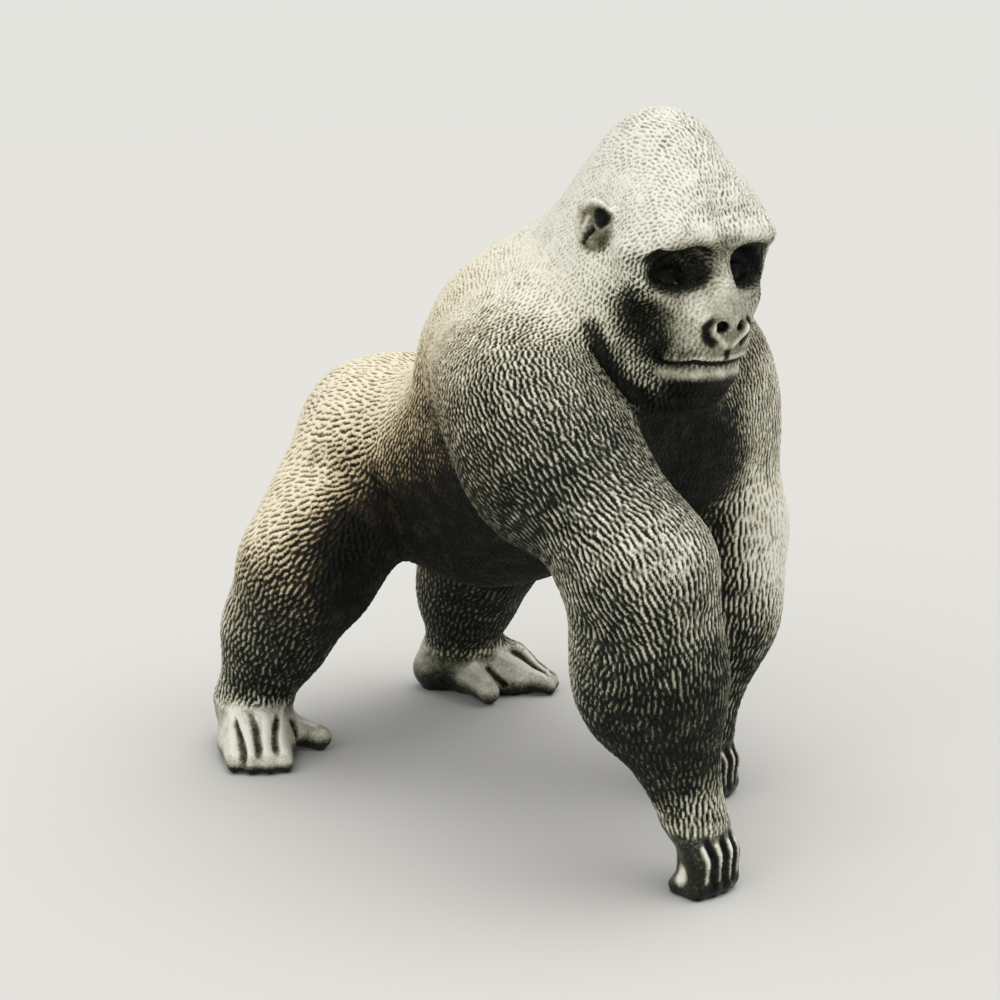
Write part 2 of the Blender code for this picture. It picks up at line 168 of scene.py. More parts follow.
# Patches on the right side, which the left side mirrors
PATCHES_SIDE = [
    ((-27, -38, 148), (20, 30, 22), 0.15),  # side of the neck
    ((-54, -38, 126), (28, 42, 36), -0.15),  # shoulder
    ((-44, -4, 98), (30, 46, 34), -0.25),  # flank
    ((-38, 8, 70), (30, 50, 24), -0.6),
    ((-36, -12, 80), (30, 36, 20), -0.35),
    ((-46, 66, 82), (24, 30, 26), 0.2),  # thigh
    ((-34, 34, 62), (24, 24, 32), -0.45),  # front of the thigh
]

# The casting is shown in seven pieces, so that each stays light. A face belongs to the piece
# whose bones, given as start, end and thickness, lie nearest under it.
PIECES = {
    "head": [((0, -54, 154), (0, -44, 184), 27), ((0, -54, 152), (0, -64, 130), 24)],
    "shoulders": [((0, -30, 116), (0, -8, 122), 32), ((-28, -52, 106), (28, -50, 106), 13),
                  ((-22, -14, 86), (22, -14, 86), 16)],
    "hindquarters": [((0, 28, 98), (0, 74, 96), 33)],
    "right_arm": [((-46, -72, 94), (-42, -82, 82), 17), ((-42, -82, 82), (-27, -92, 4), 13)],
    "left_arm": [((44, -46, 94), (44, -38, 76), 17), ((44, -38, 76), (28, -42, 4), 12)],
    "right_leg": [((-36, 62, 74), (-43, 58, 58), 19), ((-43, 58, 58), (-45, 78, 8), 13)],
    "left_leg": [((34, 66, 74), (37, 68, 56), 19), ((37, 68, 56), (42, 82, 8), 13)],
}
# The neck's cut lies above this height, and is closed lower down, under the jaw's deep crease.
NECK_CUT = 125
NECK_CUT_DROP = 24
RIM_DEPTH = 3  # how far each cut's rim turns in before it is drawn to its middle


def read(items, name, width, kind=np.float32):
    """One attribute of all a mesh's parts, one row each."""
    flat = np.empty(len(items) * width, kind)
    items.foreach_get(name, flat)
    return flat.reshape(-1, width) if width > 1 else flat


def smooth(low, high, x):
    """0 below low, 1 above high and an even S between them."""
    t = np.clip((x - low) / (high - low), 0, 1)
    return t * t * (3 - 2 * t)


def unit(rows):
    return rows / np.maximum(np.linalg.norm(rows, axis=-1, keepdims=True), 1e-9)


def mirrored(x, y, z):
    """A place, or a direction, on the figurine's other side."""
    return -x, y, z


def searchable(points):
    """A search tree over these points."""
    tree = kdtree.KDTree(len(points))
    for number, point in enumerate(points):
        tree.insert(point, number)
    tree.balance()
    return tree


class Skin:
    """The casting's surface: its points and outward directions, and what is painted on it."""

    def __init__(self, mesh):
        self.mesh = mesh
        self.points = read(mesh.vertices, "co", 3) / TO_METRES
        self.edges = read(mesh.edges, "vertices", 2, np.int32)
        self.count = np.bincount(self.edges.ravel(), minlength=len(self.points))
        self.paint = {}
        self.uncarved = self.points  # the form before the carving
        self.turn_outward()

    def turn_outward(self):
        """Writes the points to the mesh and reads the outward directions from it."""
        self.mesh.vertices.foreach_set("co", (self.points * TO_METRES).ravel())
        self.mesh.update()
        self.out = read(self.mesh.vertex_normals, "vector", 3)

    def blur(self, values, rounds):
        """Values evened out between neighbours."""
        a, b = self.edges.T
        for _ in range(rounds):
            rows = values.reshape(len(values), -1)
            total = np.stack([np.bincount(a, rows[b, k], len(rows)) + np.bincount(b, rows[a, k], len(rows))
                              for k in range(rows.shape[1])], axis=1)
            rows = 0.5 * rows + 0.5 * total / self.count[:, None]
            values = rows.reshape(values.shape).astype(np.float32)
        return values

    def away(self, path):
        """How far each point is from a line of points, and how far along it, from 0 to 1."""
        path = np.array(path, float)
        best = np.full(len(self.points), 1e9)
        along = np.zeros(len(self.points))
        for number, (start, end) in enumerate(zip(path, path[1:])):
            share = np.clip((self.points - start) @ (end - start) / ((end - start) @ (end - start)), 0, 1)
            gap = np.linalg.norm(self.points - start - share[:, None] * (end - start), axis=1)
            along = np.where(gap < best, (number + share) / (len(path) - 1), along)
            best = np.minimum(best, gap)
        return best, along

    def line(self, path, width, depth, ends=0.15, stain=None):
        """Presses a groove along a path, or raises a bead where depth is negative."""
        gap, along = self.away(path)
        share = np.clip(1 - (gap / width) ** 2, 0, 1) ** 2
        if ends:
            share *= smooth(0, ends, along) * smooth(0, ends, 1 - along)
        self.points -= (depth * share)[:, None] * self.out
        if stain:
            self.tint(stain, share)

    def spot(self, centre, size, depth, stain=None, turn=None):
        """Presses an egg-shaped dent, or raises one where depth is negative."""
        local = self.points - np.array(centre)
        if turn is not None:
            local = local @ np.array(turn)
        share = np.clip(1 - ((local / np.array(size)) ** 2).sum(axis=1), 0, 1)
        share = share * share * (3 - 2 * share)
        self.points -= (depth * share)[:, None] * self.out
        if stain:
            self.tint(stain, share)

    def tint(self, name, share):
        """Adds a mark to one of the named paints."""
        self.paint[name] = np.maximum(self.paint.get(name, 0), share)


def merged_cad():
    """A copy of the CAD part's loose triangles, joined at their corners."""
    form = bmesh.new()
    form.from_mesh(frame["nodes"]["gorilla"].data)
    bmesh.ops.remove_doubles(form, verts=form.verts[:], dist=1e-6)
    return form


def remeshed(mesh, spacing, name):
    """The mesh's skin on an even grid."""
    obj = bpy.data.objects.new(name, mesh)
    bpy.context.scene.collection.objects.link(obj)
    even = obj.modifiers.new("even", "SUBSURF")
    even.levels = even.render_levels = 1
    grid = obj.modifiers.new("grid", "REMESH")
    grid.mode = "VOXEL"
    grid.voxel_size = spacing * TO_METRES
    bpy.context.view_layer.update()
    skin = bpy.data.meshes.new_from_object(obj.evaluated_get(bpy.context.evaluated_depsgraph_get()))
    bpy.data.objects.remove(obj)
    return skin


def even_skin():
    """The CAD part's own form, merged, rounded and laid on a fine grid."""
    form = merged_cad()
    bmesh.ops.recalc_face_normals(form, faces=form.faces[:])
    merged = bpy.data.meshes.new("merged")
    form.to_mesh(merged)
    form.free()
    skin = Skin(remeshed(merged, GRID, "skin"))
    above_soles = smooth(0.5, 1.5, skin.points[:, 2])[:, None]
    softened = skin.blur(skin.points, 8)
    skin.points += (softened - skin.points) * above_soles
    skin.uncarved = skin.points.copy()
    skin.turn_outward()
    return skin


def combed(skin):
    """The way the fur lies at every point, along the skin, with its spacing and slant."""
    way = np.zeros_like(skin.points)
    measures = np.zeros((len(skin.points), 2))
    total = np.full(len(skin.points), 1e-12)
    left = [(mirrored(*place), mirrored(*direction), spacing, slant)
            for place, direction, spacing, slant in COMB_SIDE]
    for place, direction, spacing, slant in COMB + COMB_SIDE + left:
        gap = ((skin.points - np.array(place)) ** 2).sum(axis=1)
        near = 1 / (gap / COMB_REACH**2 + 0.15) ** 2.5
        way += near[:, None] * unit(np.array(direction, float))
        measures += near[:, None] * np.array((spacing, math.radians(slant)))
        total += near
    way -= (way * skin.out).sum(axis=1, keepdims=True) * skin.out
    return unit(way), (measures / total[:, None]).T


class Waves:
    """Small wave patterns on the skin, each laid across the comb at its own place."""

    def __init__(self, places, outs):
        self.places = places
        self.outs = outs
        self.tree = searchable(places)

    def near(self, points, outs):
        """The nearest patterns to each point, the way from each and how much it counts."""
        who = np.array([[hit[1] for hit in self.tree.find_n(point, NEAREST)] for point in points])
        step = points[:, None] - self.places[who]
        gap = np.linalg.norm(step, axis=2)
        share = np.exp(-(gap**2) / (2 * STROKE_BLEND**2)) * smooth(gap[:, -1:], 0.6 * gap[:, -1:], gap)
        share *= np.clip((outs[:, None] * self.outs[who]).sum(axis=2), 0, 1)
        return who, step, share


def summed(near, wave, phase):
    """The nearest patterns added up, as a size and an angle in one complex number a point."""
    who, step, share = near
    turn = (step * wave[who]).sum(axis=2) + phase[who]
    return (share * np.exp(1j * turn)).sum(axis=1)


def strokes(skin, everywhere):
    """Carved strokes that follow the comb: 1 on their ridges and 0 in the cuts between them.

    Small wave patterns are added up. They agree with their neighbours in part, so a stroke runs on
    for a while, then forks or ends.
    """
    random = np.random.default_rng(SEED)
    way, (spacing, slant) = combed(skin)
    # each cell of space gets one number, and the first point found in it a pattern
    order = random.permutation(len(skin.points))
    cells = np.floor(skin.points[order] / STROKE_CELL).astype(np.int64) @ np.array([1, 4096, 4096 * 4096])
    _, first = np.unique(cells, return_index=True)
    seeds = order[first]
    outs, ways = skin.out[seeds], way[seeds]
    sides = np.cross(outs, ways)
    waves = Waves(skin.points[seeds], outs)
    furred = np.flatnonzero(everywhere > 0.01)
    on_skin = waves.near(skin.points[furred], skin.out[furred])
    on_waves = waves.near(waves.places, outs)
    # each stroke strays a little in direction and spacing, as hand carving does
    stray = math.radians(10) * random.normal(size=len(seeds))
    pace = 2 * math.pi / (spacing[seeds] * random.uniform(0.82, 1.2, len(seeds)))
    ridge = np.zeros(len(skin.points))
    for lean in (-1, 1):
        angle = (stray + lean * slant[seeds])[:, None]
        wave = pace[:, None] * (np.cos(angle) * sides + np.sin(angle) * ways)
        phase = random.uniform(0, 2 * math.pi, len(seeds))
        for _ in range(2):
            phase = np.angle(summed(on_waves, wave, phase))
        whole = summed(on_skin, wave, phase)
        strength = np.abs(whole) / np.median(np.abs(whole))
        ridge[furred] += 0.5 * np.cos(np.angle(whole)) * np.clip(strength, 0, 1.5) ** 0.5
    return smooth(-0.75, 0.85, ridge)


def placed(where, turn, side):
    """Turns a place on the head, a hand or a foot into a place on the figurine, as the CAD part does."""
    return (Matrix.Translation(ORIGIN + where) @ Matrix.Rotation(turn, 4, "Z")
            @ Matrix.Diagonal((side, 1, 1, 1)))


class Carver:
    """Lays grooves, beads and spots given in the head's, a hand's or a foot's own measures."""

    def __init__(self, skin, cad):
        self.skin = skin
        self.cad = cad
        self.place = Matrix.Identity(4)

    def on_skin(self, points):
        """The nearest places on the casting to these places."""
        return [self.cad.find_nearest(self.place @ Vector(point) * TO_METRES)[0] / TO_METRES
                for point in points]

    def line(self, path, width, depth, stain=None, ends=0.15):
        self.skin.line(self.on_skin(path), width, depth, ends, stain)

    def spot(self, centre, size, depth, stain=None):
        turn = self.place.to_3x3()
        self.skin.spot(self.place @ Vector(centre), size, depth, stain, turn)


def cut_face(carver):
    """The brow, the muzzle and the mouth's middle, then each side's eye, nostril, lip and ear."""
    carver.place = placed(HEAD, HEAD_TURN, 1)
    carver.line([(-9, -25, 12.5), (0, -26, 13), (9, -25, 12.5)], 1.4, 0.25)
    carver.line([(0, -33, -11), (0, -33, -15)], 1.2, 0.3)
    carver.line([(0, -31.5, -15), (0, -31.5, -19.5)], 0.9, -0.3)
    carver.line([(0, -30, -22), (0, -29.5, -25.8)], 1.5, 0.4, "dark")
    for height, reach in ((-1.5, 3.5), (-4.5, 3)):
        carver.line([(-reach, -26, height), (0, -28, height - 0.6), (reach, -26, height)], 0.9, 0.25)
    for side in (-1, 1):
        carver.place = placed(HEAD, HEAD_TURN, side)
        cut_eye(carver)
        cut_nose_and_mouth(carver)
        cut_ear(carver)
    carver.place = Matrix.Identity(4)


def cut_eye(carver):
    # the shelf of the brow and the deep line under it, painted dark as the shade under the shelf
    carver.line([(22, -17, 3), (17, -24, 7), (10, -28, 8), (3, -28.5, 8)], 4.2, -0.7, "pale")
    carver.line([(21, -19.5, 0), (18.5, -24, 3.4), (11.7, -26.5, 2.6), (4, -28, 1.5)], 2.4, 1.0, "dark")
    # the bag under the eye
    carver.line([(4.5, -26, -7), (10, -24.5, -9.6), (15.5, -21, -8.6)], 1.5, 0.35)
    # the lids round the eye, then the eye itself
    carver.line([(6, -19, -3.6), (8.5, -19.6, -1.5), (11, -19.8, -0.9), (14, -19, -2), (16, -18, -4)],
                1.2, -0.6)
    carver.line([(6, -19, -4), (8.5, -20, -6), (11, -20.4, -6.6), (14, -19.6, -6), (16, -18, -4)], 1.2, -0.6)
    carver.spot((11, -19.4, -3.8), (3.4, 3, 1.9), -0.6, "eye")
    # a painted glint on the eye
    carver.spot((10.2, -20.6, -4.8), (0.9, 1.2, 0.7), 0, "glint")
    # the eye socket, painted with the shade under the brow; the fur stays out of it
    carver.spot((12, -24, -2), (11, 10, 6.8), 0, "socket")


def cut_nose_and_mouth(carver):
    carver.line([(5, -31, -13.3), (8, -30, -16), (7.4, -30, -19.2), (3.6, -30.2, -21.3)], 1.7, 0.9, "dark")
    carver.line([(5.4, -31, -14.4), (5.9, -31, -17.2), (2.4, -30.8, -20.2), (0.6, -30.4, -22)],
                1.1, -0.5, "pale")
    carver.spot((3.2, -31, -16), (2.1, 3.6, 1.7), 2.4, "hole")
    # the fold beside the muzzle
    carver.line([(9, -29, -17), (12.5, -25, -20.5), (15, -19, -24)], 1.6, 0.35)
    # the line between the lips, the lower lip and the edge of the upper one
    carver.line([(-0.5, -29, -27), (9, -27.4, -26.6), (15.5, -18, -26)], 1.1, 0.8, "hole", ends=0)
    carver.line([(-0.5, -27, -29), (8, -25, -28.8), (13.5, -18.5, -28.2)], 2.6, -0.5, "lip", ends=0)
    carver.line([(-0.5, -30, -25), (8.5, -27.6, -24.6), (14, -20.5, -24.4)], 1.3, -0.35, "pale", ends=0)
    # the hollow of the cheek, painted shade alone, and the crease behind the jaw, pressed in and painted with
    # shade
    carver.line([(23, -11, -4), (21.5, -16, -12), (19, -19, -20), (17, -19, -28)], 7.5, 0, "shade", ends=0.3)
    carver.line([(27, -4, -14), (26.3, -9.6, -22.4), (22.3, -13, -31.5), (13, -16, -38)], 3.4, 1.0, "shade")


def cut_ear(carver):
    rim = [(22.5, -11, 12.5), (23.5, -9.5, 15.5), (25.5, -5.5, 16.5),
           (27, -1.5, 13.5), (27, -1, 8.5), (26, -3.5, 4.2)]
    carver.line(rim, 1.7, -0.9, "pale", ends=0.1)
    carver.spot((26, -8, 11.8), (4.5, 2.8, 3.2), 1.8, "hole")
    carver.line([(26, -6, 9.6), (26.6, -3.6, 6.6), (26.4, -2.2, 4.6)], 1.2, 0.8, "dark")
    carver.line([(26, -4.2, 12.6), (26.4, -3, 9.6), (26.2, -1.8, 7)], 1.1, -0.7, "pale")


def cut_hand(carver, side):
    carver.place = placed(*HANDS[side], -side)
    # the cuts between the fingers, then the worn backs of the fingers
    for x in (-4.3, -0.1, 4):
        carver.line([(x, -1.5, 17), (x, -6, 12), (x, -7.2, 8), (x, -7.4, 2)], 1.2, 0.75, "dark")
    for x in (-6.4, -2.2, 2, 6):
        carver.line([(x, -3, 15.5), (x, -7, 11), (x, -7, 4)], 1.3, -0.3, "worn")
        # the wrinkles over the knuckle
        for z in (8.4, 10, 11.4):
            carver.line([(x - 1.4, -6.5, z), (x, -7.5, z - 0.3), (x + 1.4, -6.5, z)], 0.5, 0.22)
    carver.spot((8.6, 5.5, 7), (3, 3, 3.5), -0.3, "worn")
    carver.spot((-8, 1.5, 6), (2, 3.5, 4), -0.2, "worn")


def cut_foot(carver, side):
    carver.place = placed(*FEET[side], -side)
    for x in (-7, -2.2, 2.8):
        carver.line([(x * 0.9, -14, 13), (x, -22, 10.5), (x, -28, 7), (x, -31.5, 2)], 1.7, 0.9, "dark")
    for x, reach in zip((-9.4, -4.6, 0.3, 5.2), (-28, -30.5, -31.5, -31)):
        # the worn string of each toe, its nail and the wrinkles over its joint
        carver.line([(x * 0.6, -8, 15), (x * 0.9, -18, 11), (x, -26, 8), (x, reach, 5.5)], 1.7, -0.35, "worn")
        carver.line([(x - 1.3, reach + 1.6, 5.6), (x, reach + 0.8, 6.2), (x + 1.3, reach + 1.6, 5.6)],
                    0.6, 0.3)
        for y in (-23, -24.5):
            carver.line([(x - 1.6, y, 8.2), (x + 1.6, y, 8.2)], 0.5, 0.2)
    carver.line([(5, -3, 12), (14, -9, 9), (19, -12, 7.5)], 2.2, -0.35, "worn")
    carver.line([(7, -8, 9), (9.5, -13, 6), (9, -17, 4)], 1.6, 0.7, "dark")


def open_to_sky(corners, outs, tree):
    """How open each corner is to the light from above, from 0 to 1."""
    random = np.random.default_rng(SEED)
    rays = unit(random.normal(size=(SKY_RAYS, 3)))
    rays[:, 2] = np.where(random.random(SKY_RAYS) < 0.6, np.abs(rays[:, 2]), rays[:, 2])
    worth = 0.35 + np.clip(rays[:, 2], 0, 1)
    directions = [Vector(ray) for ray in rays]
    seen = np.zeros(len(corners))
    for number, (corner, out) in enumerate(zip(corners, outs)):
        start = Vector(corner + 0.6 * out) * TO_METRES
        for direction, share, facing in zip(directions, worth, rays @ out):
            if facing > 0 and tree.ray_cast(start, direction, SKY_REACH * TO_METRES)[0] is None:
                seen[number] += share * facing
    return seen / np.percentile(seen, 99)


def sky_paint(skin, form, tree):
    """The light from above, found at the CAD part's corners and evened out over the skin."""
    corners = np.array([corner.co for corner in form.verts]) / TO_METRES
    outs = np.array([corner.normal for corner in form.verts])
    light = open_to_sky(corners, outs, tree)
    near = searchable(corners)
    nearest = np.array([near.find(point)[1] for point in skin.points])
    return skin.blur(light[nearest].astype(np.float32), 60)


def carved_skin():
    """The whole figurine's skin, with its face, hands, feet and fur carved and painted."""
    skin = even_skin()
    form = merged_cad()
    tree = BVHTree.FromBMesh(form)
    skin.paint["sky"] = sky_paint(skin, form, tree)
    form.free()
    carver = Carver(skin, tree)
    cut_face(carver)
    for side in (-1, 1):
        cut_hand(carver, side)
        cut_foot(carver, side)
    skin.points[:, 2] = np.maximum(skin.points[:, 2], 0)
    skin.turn_outward()
    cut_fur(skin)
    return skin


def fur_cover(skin):
    """Where the skin has fur, from 0 to 1: less on the face, and none on ears, lips and eyes."""
    paint = skin.paint
    to_head = np.array(placed(HEAD, HEAD_TURN, 1).inverted())
    local = skin.points @ to_head[:3, :3].T + to_head[:3, 3]
    face = smooth(-17, -22, local[:, 1]) * smooth(-36, -30, local[:, 2]) * smooth(12, 5, local[:, 2])
    face *= smooth(22, 17, np.abs(local[:, 0])) * (skin.points[:, 2] > 110)
    nose = smooth(10, 6, np.linalg.norm((local - (0, -30, -16)) * (1, 1, 0.9), axis=1))
    furry = 1 - 0.6 * face - 0.4 * face * nose
    from_ear = local * (np.sign(local[:, :1]) * (1, 0, 0) + (0, 1, 1)) - (25, -5, 10)
    furry *= 1 - smooth(1, 0.75, np.linalg.norm(from_ear / (6, 7, 8.5), axis=1))
    furry *= 1 - np.clip(paint["lip"] + paint["hole"] + paint["eye"] + 0.9 * paint["socket"], 0, 1)
    return furry


def cut_fur(skin):
    """Carves the fur, which ends in tufts over the bare hands and feet, and paints the skin."""
    y, z = skin.points[:, 1], skin.points[:, 2]
    furry = fur_cover(skin)
    ridge = strokes(skin, smooth(10, 13, z))
    edge = np.where(y < 0, WRIST_FUR_ENDS, ANKLE_FUR_ENDS)
    furry *= smooth(-1.2, 1.2, z - edge + 2.2 * (ridge - 0.5) * 2)
    bare = smooth(-0.5, -2.5, z - edge) * smooth(0.2, 1.2, z)
    skin.points = skin.points - ((1 - ridge) * STROKE_DEPTH * furry)[:, None] * skin.out
    skin.points -= (BARE_DEPTH * bare)[:, None] * skin.out
    skin.points[:, 2] = np.maximum(skin.points[:, 2], 0)
    skin.turn_outward()
    brush(skin, furry, ridge, bare)


def brush(skin, furry, ridge, bare):
    """How pale each point is painted, from 0 to 1: the dry brush's paint together with painted light from
    above and painted shade below and in hollows; and how warm and glossy it is.
    """
    paint = skin.paint
    y, z = skin.points[:, 1], skin.points[:, 2]
    up = skin.blur(skin.out[:, 2].copy(), 12)
    # the pale paint follows the light from above: partly the dry brush on open, upward faces, partly painted
    # light, with painted shade in recesses and underneath
    dry_brush_and_painted_light = 0.05 + 0.62 * paint["sky"] + 0.12 * up
    # higher parts are paler still: painted light from above
    dry_brush_and_painted_light += 0.12 * smooth(90, 180, z) + 0.06 * smooth(150, 165, z)
    left = [(mirrored(*centre), size, more) for centre, size, more in PATCHES_SIDE]
    for centre, size, more in PATCHES + PATCHES_SIDE + left:
        gap = np.linalg.norm((skin.points - centre) / np.array(size), axis=1)
        dry_brush_and_painted_light += more * smooth(1.15, 0.35, gap)
    # painted shade in the hollow of the cheek, the crease behind the jaw and the eye sockets
    dry_brush_and_painted_light -= 0.6 * paint["shade"] + 0.95 * paint["socket"]
    worn = 0.75 * paint["worn"] + 0.35 * paint["pale"]
    # where little pale paint and painted light lie, the tips alone are pale, and where much lies, the cuts
    # too
    least = np.maximum(0.95 - 0.95 * dry_brush_and_painted_light, 0.25)
    caught = smooth(least - 0.36, least + 0.34, ridge)
    top = 0.45 + 0.72 * np.clip(dry_brush_and_painted_light, 0, 1.1)
    cut = 0.66 * smooth(0.5, 1.2, dry_brush_and_painted_light)
    on_fur = cut + (top - cut) * caught
    on_skin = 0.75 * dry_brush_and_painted_light - 0.12 + worn
    # the hind feet paler where they face up: worn paint and painted light from above
    on_skin += 0.45 * smooth(20, 40, y) * smooth(-0.5, 0.5, up)
    paint["brush"] = on_skin + (on_fur - on_skin) * furry + 0.3 * paint["pale"] * furry
    paint["brush"] += 0.45 * paint["lip"] - 0.7 * paint["dark"] - 1.2 * paint["hole"]
    # the eyes are painted dark, and a painted glint is added on them
    paint["brush"] = np.clip(paint["brush"], 0, 1.15) * (1 - paint["eye"]) + 0.6 * paint["glint"]
    paint["warm"] = 0.9 * smooth(-75, 35, y) * smooth(30, 85, z) * smooth(190, 140, z)
    paint["gloss"] = np.clip(bare + paint["lip"] + paint["eye"] + 0.4 * paint["hole"], 0, 1)


def bone_gap(points, start, end, thickness):
    """How far points lie outside a bone of that thickness."""
    start, end = np.array(start, float), np.array(end, float)
    along = np.clip((points - start) @ (end - start) / ((end - start) @ (end - start)), 0, 1)
    return np.linalg.norm(points - start - along[:, None] * (end - start), axis=1) - thickness


def write_paint(skin):
    """Writes the paint to the mesh, with what each piece still needs from the whole skin."""
    for name in ("brush", "warm", "gloss"):
        layer = skin.mesh.attributes.new(name, "FLOAT", "POINT")
        layer.data.foreach_set("value", np.ascontiguousarray(skin.paint[name], np.float32))
    for name, values in (("outward", skin.out), ("uncarved", skin.uncarved * TO_METRES)):
        layer = skin.mesh.attributes.new(name, "FLOAT_VECTOR", "POINT")
        layer.data.foreach_set("vector", np.ascontiguousarray(values, np.float32).ravel())


def parted(skin, material):
    """Cuts the finished skin into its pieces, each face to the piece whose bones are nearest."""
    mesh = skin.mesh
    write_paint(skin)
    centres = read(mesh.polygons, "center", 3) / TO_METRES
    away = np.array([np.min([bone_gap(centres, *bone) for bone in bones], axis=0)
                     for bones in PIECES.values()])
    label = away.argmin(axis=0).astype(np.int32)
    mesh.attributes.new("piece", "INT", "FACE").data.foreach_set("value", label)
    mesh.materials.clear()
    for _ in PIECES:
        mesh.materials.append(material)
    mesh.polygons.foreach_set("material_index", label)
    mesh.polygons.foreach_set("use_smooth", np.full(len(label), True))
    whole = bpy.data.objects.new("casting", mesh)
    bpy.context.scene.collection.objects.link(whole)
    bpy.context.view_layer.objects.active = whole
    whole.select_set(True)
    bpy.ops.object.mode_set(mode="EDIT")
    bpy.ops.mesh.select_all(action="SELECT")
    bpy.ops.mesh.separate(type="MATERIAL")
    bpy.ops.object.mode_set(mode="OBJECT")
    names = list(PIECES)
    for obj in [o for o in bpy.context.scene.objects if o.name.startswith("casting")]:
        obj.name = names[obj.data.attributes["piece"].data[0].value]
        finish_piece(obj, material)


def close_cuts(mesh):
    """Closes a piece where it was cut: each open rim turns in, then is drawn to its middle."""
    form = bmesh.new()
    form.from_mesh(mesh)
    outward = form.verts.layers.float_vector["outward"]
    taken = set()
    for first in [edge for edge in form.edges if edge.is_boundary]:
        if first in taken:
            continue
        taken.add(first)
        rim = [first]
        for edge in rim:
            for corner in edge.verts:
                joined = [other for other in corner.link_edges if other.is_boundary and other not in taken]
                taken.update(joined)
                rim += joined
        middle = sum((corner.co for edge in rim for corner in edge.verts), Vector()) / (2 * len(rim))
        if middle.z > NECK_CUT * TO_METRES:
            middle.z -= NECK_CUT_DROP * TO_METRES
        for depth in (RIM_DEPTH, 0):
            grown = bmesh.ops.extrude_edge_only(form, edges=rim)["geom"]
            inner = [part for part in grown if isinstance(part, bmesh.types.BMVert)]
            rim = [part for part in grown if isinstance(part, bmesh.types.BMEdge)]
            for corner in inner:
                corner.co -= depth * TO_METRES * corner[outward]
        bmesh.ops.pointmerge(form, verts=inner, merge_co=middle)
    bmesh.ops.recalc_face_normals(form, faces=form.faces[:])
    if sum(face.normal.dot(face.verts[0][outward]) for face in form.faces) < 0:
        bmesh.ops.reverse_faces(form, faces=form.faces[:])
    form.to_mesh(mesh)
    form.free()


def unwrap(obj):
    """Lays out a piece's map on its form before the carving, which leaves the map few seams."""
    mesh = obj.data
    carved = read(mesh.vertices, "co", 3)
    uncarved = read(mesh.attributes["uncarved"].data, "vector", 3)
    mesh.vertices.foreach_set("co", uncarved.ravel())
    mesh.update()
    bpy.ops.object.select_all(action="DESELECT")
    bpy.context.view_layer.objects.active = obj
    obj.select_set(True)
    bpy.ops.object.mode_set(mode="EDIT")
    bpy.ops.mesh.select_all(action="SELECT")
    bpy.ops.uv.smart_project(angle_limit=math.radians(70), island_margin=0.002)
    bpy.ops.object.mode_set(mode="OBJECT")
    mesh.vertices.foreach_set("co", carved.ravel())
    mesh.update()


def finish_piece(obj, material):
    """Closes and unwraps a piece and shades it as the whole skin, so no line shows between two."""
    mesh = obj.data
    close_cuts(mesh)
    mesh.materials.clear()
    mesh.materials.append(material)
    mesh.polygons.foreach_set("material_index", np.zeros(len(mesh.polygons), np.int32))
    unwrap(obj)
    mesh.normals_split_custom_set_from_vertices(read(mesh.attributes["outward"].data, "vector", 3))
    for name in ("uncarved", "outward", "piece"):
        mesh.attributes.remove(mesh.attributes[name])
    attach(obj, "root")
    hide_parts("gorilla")


def srgb(code):
    """A colour written as sRGB hex, in the linear values that a shader takes."""
    parts = [int(code[i:i + 2], 16) / 255 for i in (1, 3, 5)]
    return tuple(c / 12.92 if c <= 0.04045 else ((c + 0.055) / 1.055) ** 2.4 for c in parts) + (1,)


def node(tree, kind, settings=None, inputs=None):
    """Adds a node with its settings, and its inputs by name or number, each a value or a link."""
    made = tree.nodes.new(kind)
    for name, value in (settings or {}).items():
        setattr(made, name, value)
    for key, value in (inputs or {}).items():
        if isinstance(value, bpy.types.NodeSocket):
            tree.links.new(value, made.inputs[key])
        else:
            made.inputs[key].default_value = value
    return made


def ramp(tree, factor, stops):
    """A colour ramp through places and sRGB colours."""
    made = node(tree, "ShaderNodeValToRGB", inputs={0: factor})
    elements = made.color_ramp.elements
    elements[0].position, elements[1].position = stops[0][0], stops[-1][0]
    elements[0].color, elements[1].color = srgb(stops[0][1]), srgb(stops[-1][1])
    for place, code in stops[1:-1]:
        elements.new(place).color = srgb(code)
    return made.outputs[0]


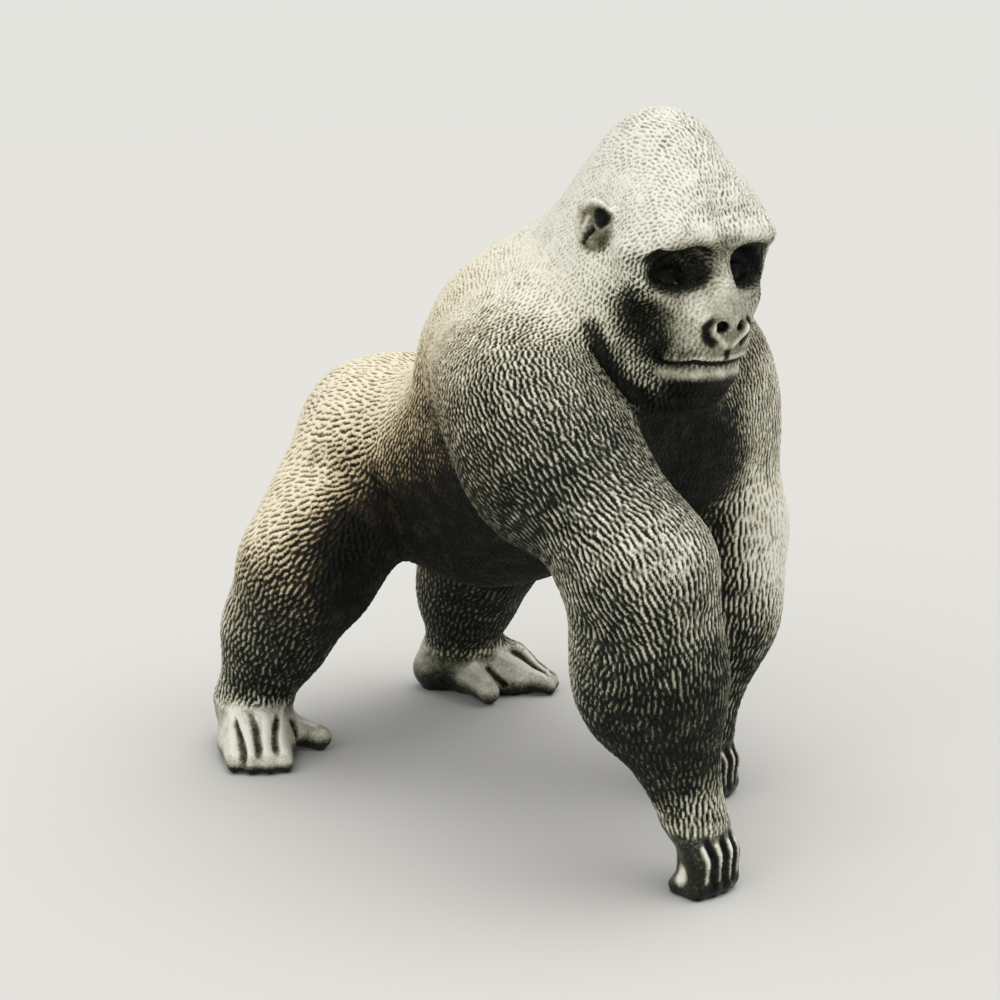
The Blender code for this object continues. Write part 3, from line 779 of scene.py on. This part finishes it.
def patina():
    """Cold-cast resin, painted green-black and dry-brushed: pale on each ridge, dark in each cut, with
    painted light and painted shade read from the brush attribute too.
    """
    material = bpy.data.materials.new("resin_with_bronze_patina")
    material.use_nodes = True
    tree = material.node_tree
    shader = tree.nodes["Principled BSDF"]

    def painted(name):
        return node(tree, "ShaderNodeAttribute", {"attribute_name": name}).outputs["Fac"]

    place = node(tree, "ShaderNodeTexCoord").outputs["Object"]
    # the brush marks come and go over some 6 mm, and the paint's own grain is about 0.7 mm
    blotch = node(tree, "ShaderNodeTexNoise", inputs={"Vector": place, "Scale": 1 / (BRUSH_MARK * TO_METRES),
                                                      "Detail": 6.0, "Roughness": 0.65})
    grain = node(tree, "ShaderNodeTexNoise", inputs={"Vector": place, "Scale": 1 / (PAINT_GRAIN * TO_METRES),
                                                     "Detail": 2.0})
    uneven = node(tree, "ShaderNodeMath", {"operation": "MULTIPLY_ADD"},
                  {0: blotch.outputs[0], 1: 0.75, 2: painted("brush")})
    speckled = node(tree, "ShaderNodeMath", {"operation": "MULTIPLY_ADD"},
                    {0: grain.outputs[0], 1: 0.5, 2: uneven.outputs[0]})
    level = node(tree, "ShaderNodeMath", {"operation": "SUBTRACT"}, {0: speckled.outputs[0], 1: 0.63})
    cool = ramp(tree, level.outputs[0], [(0.0, "#070A06"), (0.25, "#2C3025"), (0.5, "#7F7D6A"),
                                         (0.75, "#C6C3AF"), (1.0, "#F5F3E6")])
    warm = ramp(tree, level.outputs[0], [(0.0, "#0A0905"), (0.25, "#3C3322"), (0.5, "#94815F"),
                                         (0.75, "#D6C39D"), (1.0, "#F8EFD6")])
    colour = node(tree, "ShaderNodeMix", {"data_type": "RGBA"}, {0: painted("warm"), 6: cool, 7: warm})
    tree.links.new(colour.outputs[2], shader.inputs["Base Color"])
    rough = node(tree, "ShaderNodeMapRange", inputs={0: painted("gloss"), 3: 0.58, 4: 0.24})
    tree.links.new(rough.outputs[0], shader.inputs["Roughness"])
    shader.inputs["IOR"].default_value = 1.5
    shader.inputs["Specular IOR Level"].default_value = 0.14
    bump = node(tree, "ShaderNodeBump", inputs={"Strength": 0.25, "Distance": 0.0003,
                                                "Height": grain.outputs[0]})
    tree.links.new(bump.outputs[0], shader.inputs["Normal"])
    return material


def pale_floor():
    """A plain pale floor, wide enough to fill the view."""
    mesh = bpy.data.meshes.new("floor")
    form = bmesh.new()
    bmesh.ops.create_grid(form, x_segments=1, y_segments=1, size=4)
    form.to_mesh(mesh)
    form.free()
    material = bpy.data.materials.new("plain_pale_floor")
    material.use_nodes = True
    shader = material.node_tree.nodes["Principled BSDF"]
    shader.inputs["Base Color"].default_value = srgb("#E4E2DC")
    shader.inputs["Roughness"].default_value = 0.9
    mesh.materials.append(material)
    floor = bpy.data.objects.new("floor", mesh)
    bpy.context.scene.collection.objects.link(floor)


def pale_room():
    """Even light from all round, and a wall that looks as pale as the floor."""
    world = bpy.data.worlds.new("studio")
    world.use_nodes = True
    tree = world.node_tree
    rays = node(tree, "ShaderNodeLightPath")
    room = tree.nodes["Background"]
    room.inputs["Color"].default_value = srgb("#F4F5F6")
    room.inputs["Strength"].default_value = 0.5
    wall = node(tree, "ShaderNodeBackground", inputs={"Color": srgb("#E4E3DE"), "Strength": 1.0})
    both = node(tree, "ShaderNodeMixShader", inputs={0: rays.outputs["Is Camera Ray"], 1: room.outputs[0],
                                                     2: wall.outputs[0]})
    tree.links.new(both.outputs[0], tree.nodes["World Output"].inputs[0])
    bpy.context.scene.world = world


def soft_light(name, towards, spread, strength):
    """A broad soft light that shines from that direction."""
    data = bpy.data.lights.new(name, "SUN")
    data.angle = math.radians(spread)
    data.energy = strength
    obj = bpy.data.objects.new(name, data)
    obj.rotation_euler = (-Vector(towards)).to_track_quat("-Z", "Y").to_euler()
    bpy.context.scene.collection.objects.link(obj)


def camera():
    """The photograph's view."""
    data = bpy.data.cameras.new("camera")
    data.lens = CAMERA_LENS
    data.sensor_width = CAMERA_SENSOR
    view = bpy.data.objects.new("camera", data)
    view.location = CAMERA * TO_METRES
    view.rotation_euler = (CAMERA_AIM - CAMERA).to_track_quat("-Z", "Y").to_euler()
    bpy.context.scene.collection.objects.link(view)
    bpy.context.scene.camera = view


def studio():
    """A plain pale floor and room, soft light and the camera."""
    bpy.context.scene.view_settings.view_transform = "Standard"
    pale_floor()
    pale_room()
    soft_light("soft_light_above", (0.1, -0.2, 1), 70, 1.45)
    soft_light("soft_light_left", (-0.9, -0.35, 0.5), 60, 0.8)
    camera()


parted(carved_skin(), patina())
studio()
